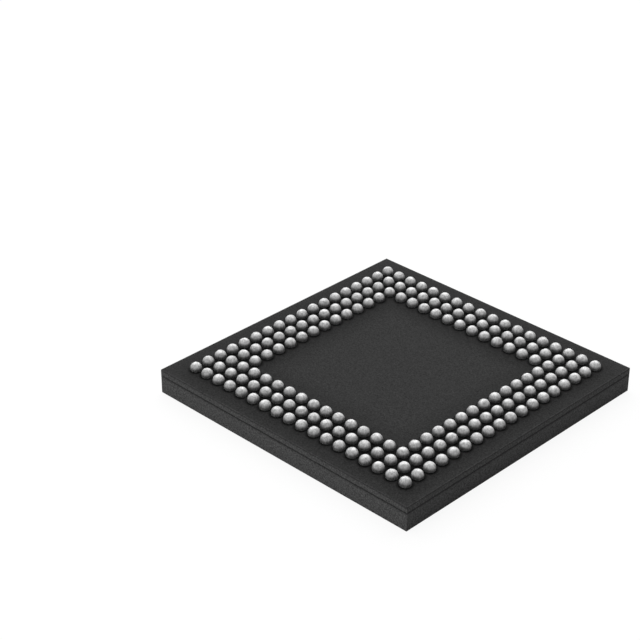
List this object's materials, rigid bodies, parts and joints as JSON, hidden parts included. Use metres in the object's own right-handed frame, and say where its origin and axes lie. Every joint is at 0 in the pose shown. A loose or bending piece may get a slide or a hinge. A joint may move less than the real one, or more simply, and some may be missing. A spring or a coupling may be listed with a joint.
{
  "type": "ball grid array chip package",
  "caption": "Square moulded chip package lying on its cap, with a ring of solder balls on a laminate substrate and a wire-bonded die inside.",
  "frame": {"origin": "centre of the mould cap's flat face, which the part rests on", "axes": "+Z from the mould cap towards the solder balls; +X and +Y along the package's sides, with the rows of balls along +X"},
  "size_m": [0.01, 0.01, 0.001],
  "materials": {
    "mould_compound": "matte, fine grain",
    "solder_mask": "matte, fine grain",
    "glass_epoxy": "matte, sawn edge",
    "solder": "matte, softly mottled",
    "copper": "satin",
    "silicon": "polished",
    "silver_epoxy": "matte",
    "gold": "bright"
  },
  "bodies": {
    "root": {"mould_cap": "mould_compound", "die_side_mask": "solder_mask", "substrate_core": "glass_epoxy", "ball_side_mask": "solder_mask", "solder_balls_a": "solder", "solder_balls_b": "solder", "solder_balls_c": "solder", "solder_balls_d": "solder", "solder_balls_e": "solder", "solder_balls_f": "solder", "solder_balls_g": "solder", "solder_balls_h": "solder", "solder_balls_j": "solder", "solder_balls_k": "solder", "solder_balls_l": "solder", "solder_balls_m": "solder", "solder_balls_n": "solder", "solder_balls_p": "solder", "solder_balls_r": "solder", "solder_balls_t": "solder", "solder_balls_u": "solder", "solder_balls_v": "solder", "ball_lands": "copper", "vias": "copper", "bond_fingers_left": "copper", "bond_fingers_front": "copper", "bond_fingers_right": "copper", "bond_fingers_back": "copper", "ground_plane": "copper", "silicon_die": "silicon", "die_attach": "silver_epoxy", "bond_wires_left": "gold", "bond_wires_front": "gold", "bond_wires_right": "gold", "bond_wires_back": "gold"}
  },
  "joints": []
}
